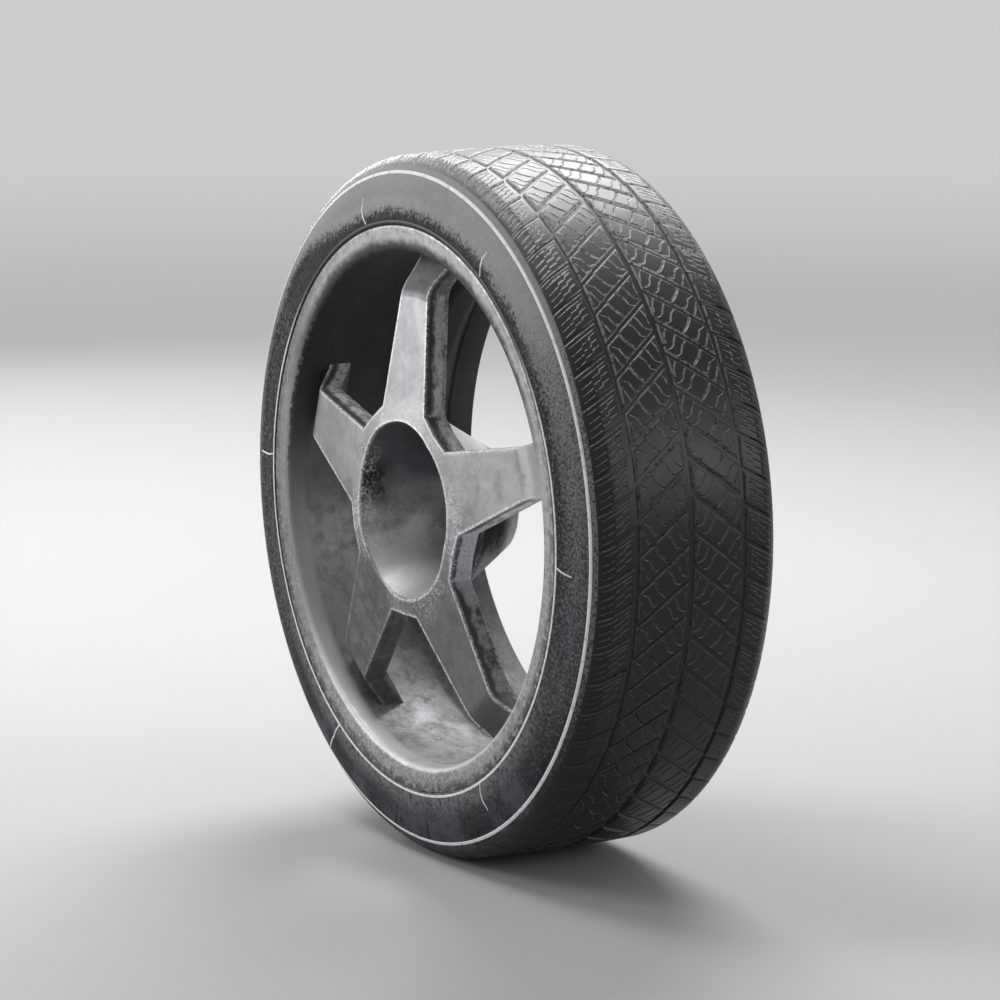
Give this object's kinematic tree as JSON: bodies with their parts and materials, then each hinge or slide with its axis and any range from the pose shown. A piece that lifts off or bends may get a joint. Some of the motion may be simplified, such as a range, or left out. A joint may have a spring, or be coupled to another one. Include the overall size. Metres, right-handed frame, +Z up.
{
  "type": "car wheel",
  "caption": "Cast alloy car wheel with straight spokes and a deep cupped hub, a low-profile tyre with a directional tread, and a snap-in tubeless valve.",
  "frame": {"origin": "centre of the hub's mounting face, on the wheel's axis", "axes": "+Y along the axis from the wheel's outer face towards the car, +Z up"},
  "size_m": [0.588, 0.1931, 0.588],
  "materials": {
    "cast_alloy": "worn cast aluminium with brake dust and bright edges",
    "tyre_rubber": "black tread, dusty blue-grey sidewall with thin white rings",
    "valve_rubber": "moulded black rubber",
    "valve_brass": "dull turned brass",
    "spring_steel": "drawn spring wire",
    "cap_plastic": "black moulded plastic"
  },
  "bodies": {
    "wheel": {"rim": "cast_alloy", "tyre": "tyre_rubber", "valve_rubber": "valve_rubber", "valve_stem": "valve_brass", "core_body": "valve_brass", "core_spring": "spring_steel"},
    "core_plunger": {"core_pin": "valve_brass", "core_seal": "valve_rubber"},
    "cap": {"valve_cap": "cap_plastic"}
  },
  "joints": [
    {"name": "core_press", "type": "slide", "parent": "wheel", "child": "core_plunger", "axis": [0.9511, 0, -0.309], "range_m": [0, 0.001], "stiffness_N_per_m": 300, "deforming": ["core_spring"]},
    {"name": "cap_lift", "type": "slide", "parent": "wheel", "child": "cap", "axis": [-0.9511, 0, 0.309], "range_m": [0, 0.012]}
  ]
}
